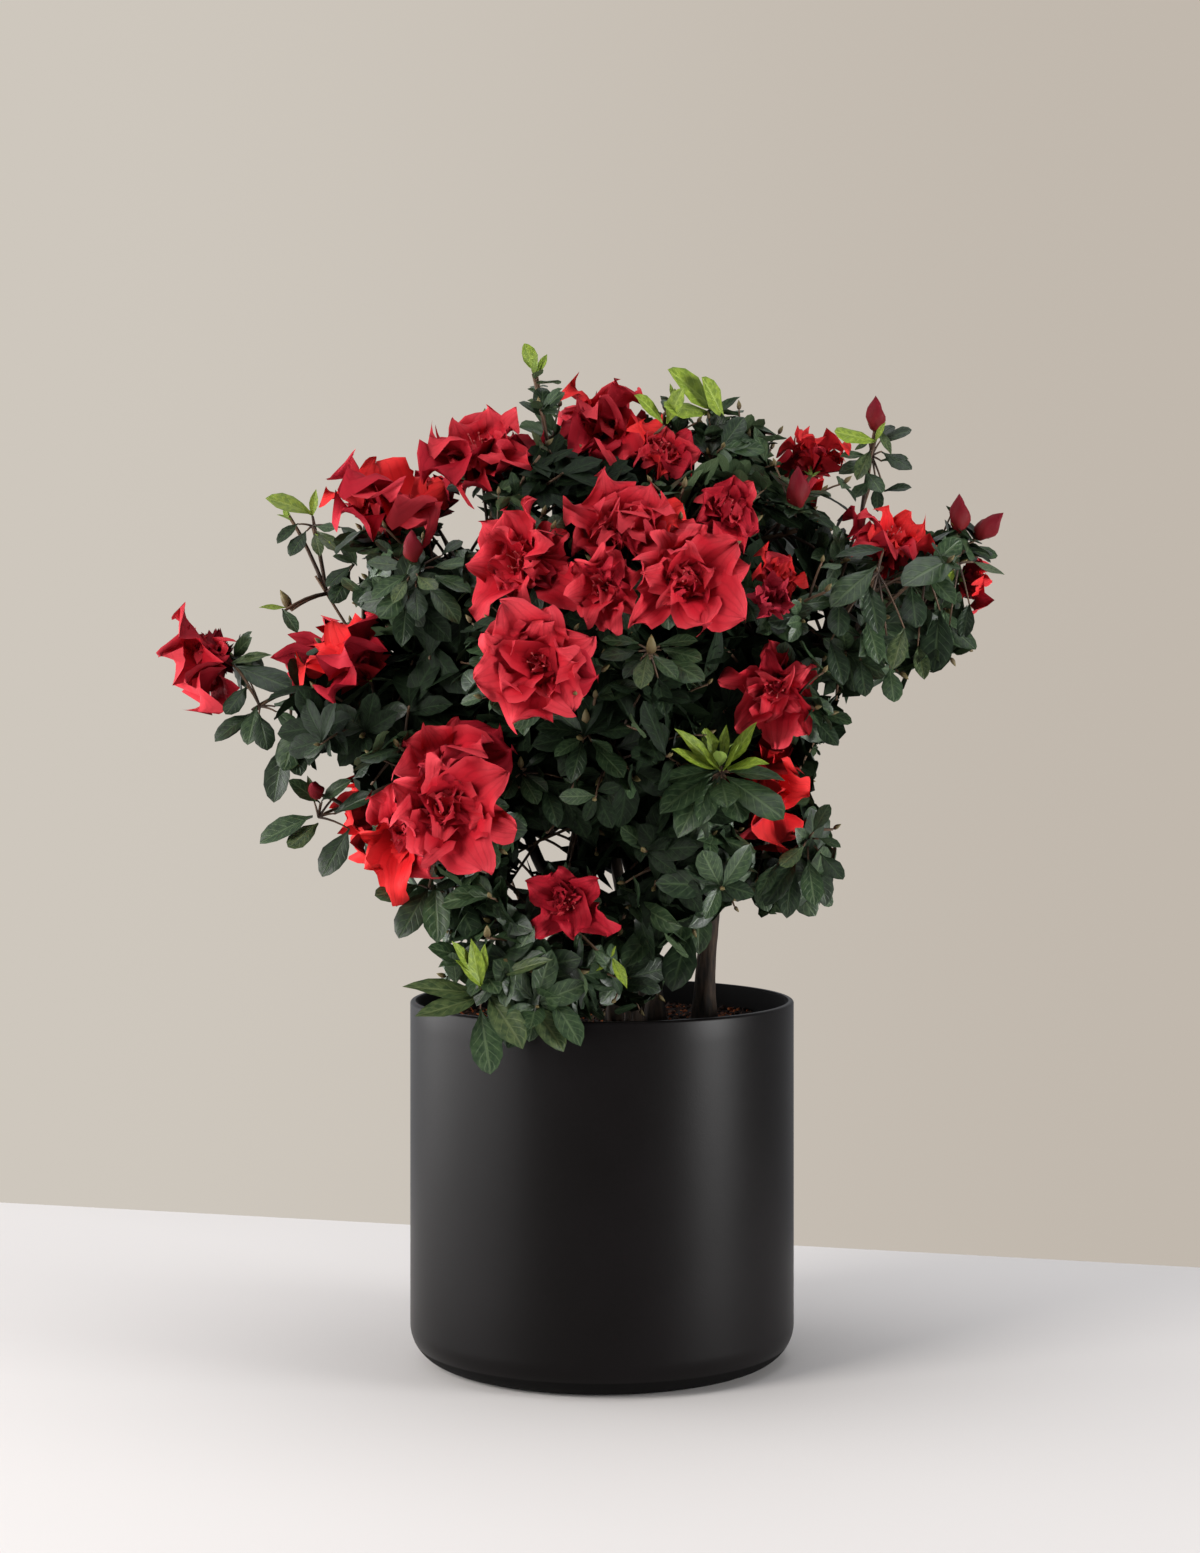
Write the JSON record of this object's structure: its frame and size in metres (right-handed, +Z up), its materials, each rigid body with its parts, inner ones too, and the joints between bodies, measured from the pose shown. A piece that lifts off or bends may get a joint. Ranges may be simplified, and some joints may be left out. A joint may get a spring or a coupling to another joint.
{
  "type": "flowering azalea shrub in a cylinder pot",
  "caption": "Small evergreen azalea shrub with double red blossoms, open branching crown and leaf rosettes, growing in a matt black cylinder pot filled with soil.",
  "frame": {"origin": "centre of the pot's flat underside", "axes": "+Z up along the pot's axis, -Y towards the viewer, +X to the viewer's right"},
  "size_m": [0.4997, 0.3642, 0.6016],
  "materials": {
    "pot": "matt black, satin highlight",
    "soil": "loose dark potting soil with bark chips",
    "bark": "thin dark brown bark",
    "foliage": "leathery dark green leaves",
    "petals": "soft red petals"
  },
  "bodies": {
    "root": {"pot": "pot", "soil": "soil", "stem_left": "bark", "stem_front": "bark", "stem_centre": "bark", "stem_right": "bark", "stem_back": "bark", "bough_left_low": "bark", "bough_left": "bark", "bough_upper_left": "bark", "bough_front_low": "bark", "bough_front": "bark", "bough_shoot": "bark", "bough_top": "bark", "bough_centre": "bark", "bough_top_right": "bark", "bough_right": "bark", "bough_right_front": "bark", "bough_right_low": "bark", "bough_back_right": "bark", "bough_back": "bark", "bough_back_left": "bark", "far_left_spray": "foliage", "left_low_spray": "foliage", "left_middle": "foliage", "left_upper_twigs": "foliage", "upper_left": "foliage", "top_left": "foliage", "low_left_blossoms": "foliage", "low_front": "foliage", "rim_leaves": "foliage", "low_centre": "foliage", "inner_leaves": "foliage", "front_blossom": "foliage", "centre_leaves": "foliage", "centre_left_blossom": "foliage", "shoot": "foliage", "top_sprig": "foliage", "top_centre": "foliage", "centre_top": "foliage", "centre_blossoms": "foliage", "top_right": "foliage", "upper_right_sprig": "foliage", "right_top_sprig": "foliage", "right_blossom": "foliage", "far_right_tip": "foliage", "right_leaves": "foliage", "right_star": "foliage", "right_inner": "foliage", "right_low": "foliage", "back_far_left": "foliage", "back_left_top": "foliage", "back_top": "foliage", "back_top_right": "foliage", "back_far_right": "foliage", "back_right_low": "foliage", "back_centre": "foliage", "back_mid": "foliage", "back_left_mid": "foliage", "back_left_low": "foliage"}
  },
  "joints": []
}
